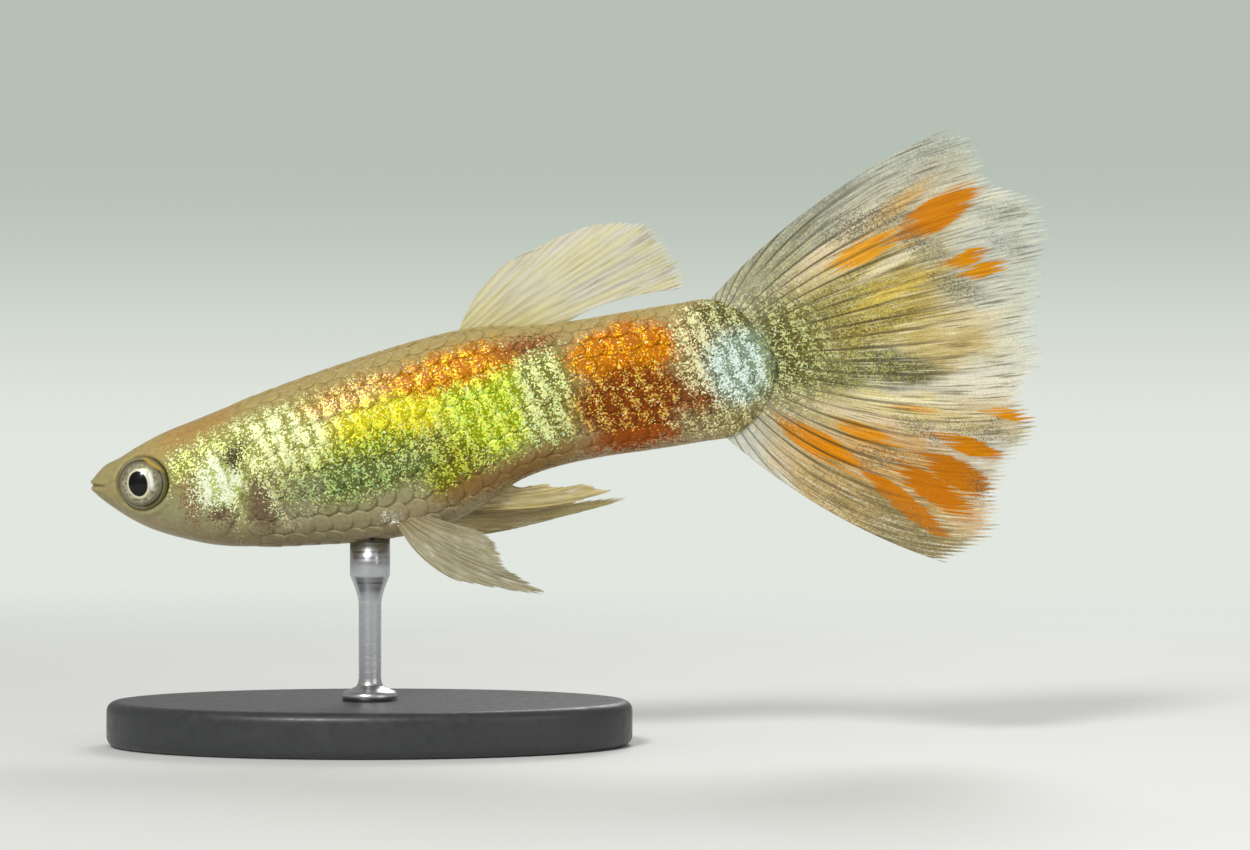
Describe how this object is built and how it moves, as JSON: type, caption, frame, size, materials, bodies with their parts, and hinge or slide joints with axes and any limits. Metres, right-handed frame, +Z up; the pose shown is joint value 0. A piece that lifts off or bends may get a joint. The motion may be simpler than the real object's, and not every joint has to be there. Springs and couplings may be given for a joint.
{
  "type": "fancy guppy model",
  "caption": "Life-size male fancy guppy swimming nose down with its fan tail spread, held by a short rod over a flat oval display base.",
  "frame": {"origin": "middle of the underside of the display base", "axes": "+X from the snout to the tail, +Y to the fish's right side, +Z up"},
  "size_m": [0.0384, 0.013, 0.0247],
  "materials": {
    "skin": "wet fish skin with fine glittering scales",
    "gill_cover": "silvery green glittering plate",
    "eye": "wet, clear and glossy",
    "clear_fin": "thin, translucent, ribbed by rays",
    "tail_fin": "thin, translucent, orange and grey patches between fine rays",
    "stand_base": "satin black",
    "stand_rod": "brushed"
  },
  "bodies": {
    "root": {"head": "skin", "lower_jaw": "skin", "gill_cover_left": "gill_cover", "gill_cover_right": "gill_cover", "eye_left": "eye", "eye_right": "eye", "trunk": "skin", "tail_stalk": "skin", "dorsal_fin": "clear_fin", "tail_fin": "tail_fin", "gonopodium": "clear_fin", "pelvic_fin_left": "clear_fin", "pelvic_fin_right": "clear_fin", "pectoral_fin_left": "clear_fin", "pectoral_fin_right": "clear_fin", "stand_base": "stand_base", "stand_rod": "stand_rod"}
  },
  "joints": []
}
